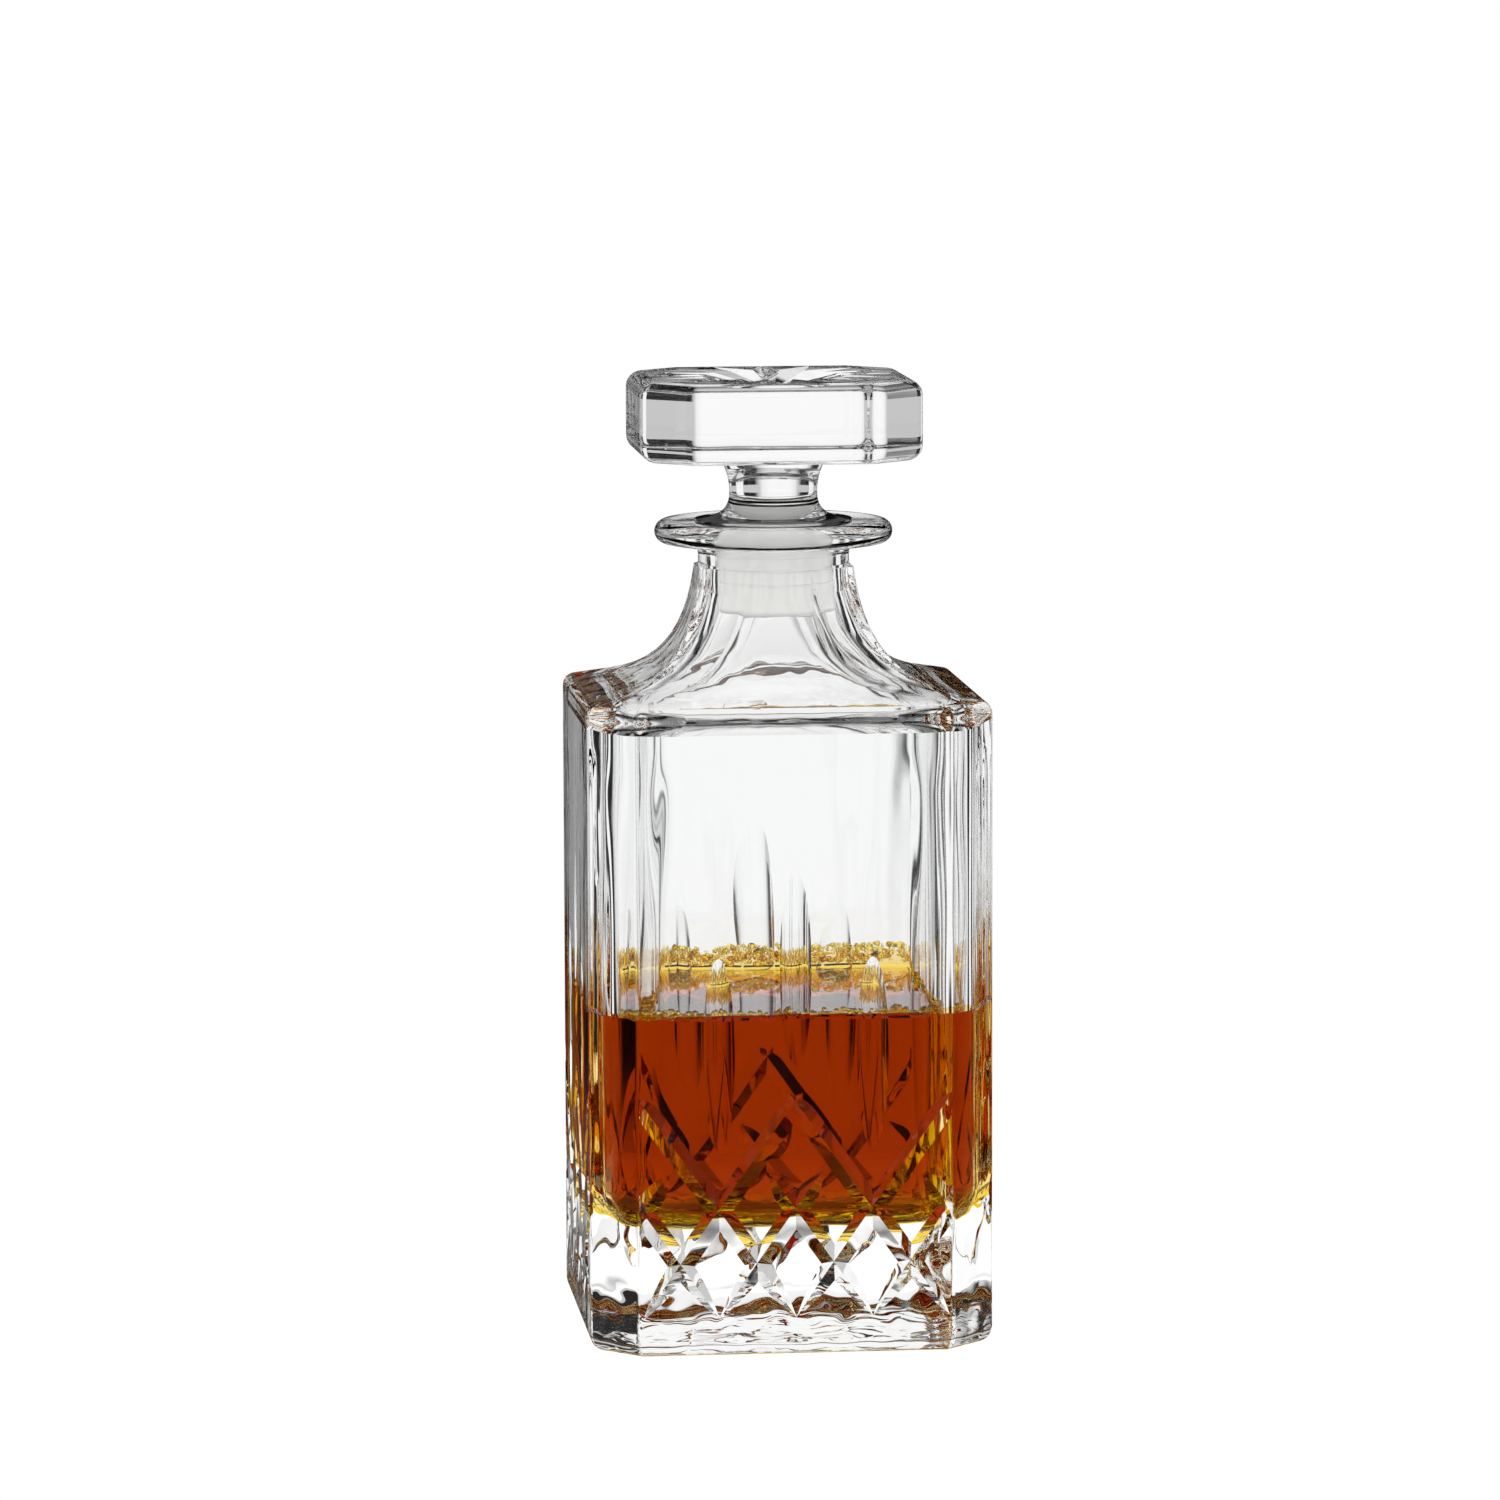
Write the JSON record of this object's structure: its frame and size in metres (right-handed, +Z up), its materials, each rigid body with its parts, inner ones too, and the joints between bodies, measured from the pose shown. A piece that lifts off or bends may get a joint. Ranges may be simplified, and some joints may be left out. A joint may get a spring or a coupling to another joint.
{
  "type": "cut glass decanter",
  "caption": "Square cut-glass decanter with chamfered corners, wedge-cut sides, flanged lip and a square star-cut stopper in a plastic seal, part filled with whiskey.",
  "frame": {"origin": "centre of the underside, on the plane that the foot stands on", "axes": "+Z up along the neck; -Y is the front face and +X the right-hand face; the four sides are alike"},
  "size_m": [0.095, 0.095, 0.2262],
  "materials": {
    "clear_glass": "fire-polished clear crystal glass, wedge cut",
    "stopper_glass": "fire-polished clear crystal glass, star cut",
    "seal_plastic": "natural milky translucent polyethylene, satin",
    "whiskey": "clear amber liquid"
  },
  "bodies": {
    "decanter": {"decanter_body": "clear_glass", "whiskey": "whiskey"},
    "seal": {"stopper_seal": "seal_plastic"},
    "stopper": {"stopper": "stopper_glass"}
  },
  "joints": [
    {"name": "stopper_lift", "type": "slide", "parent": "decanter", "child": "seal", "axis": [0, 0, 1], "range_m": [0, 0.06]},
    {"name": "stopper_twist", "type": "hinge", "parent": "seal", "child": "stopper", "pos_m": [0, 0, 0.1913], "axis": [0, 0, 1], "continuous": true}
  ]
}
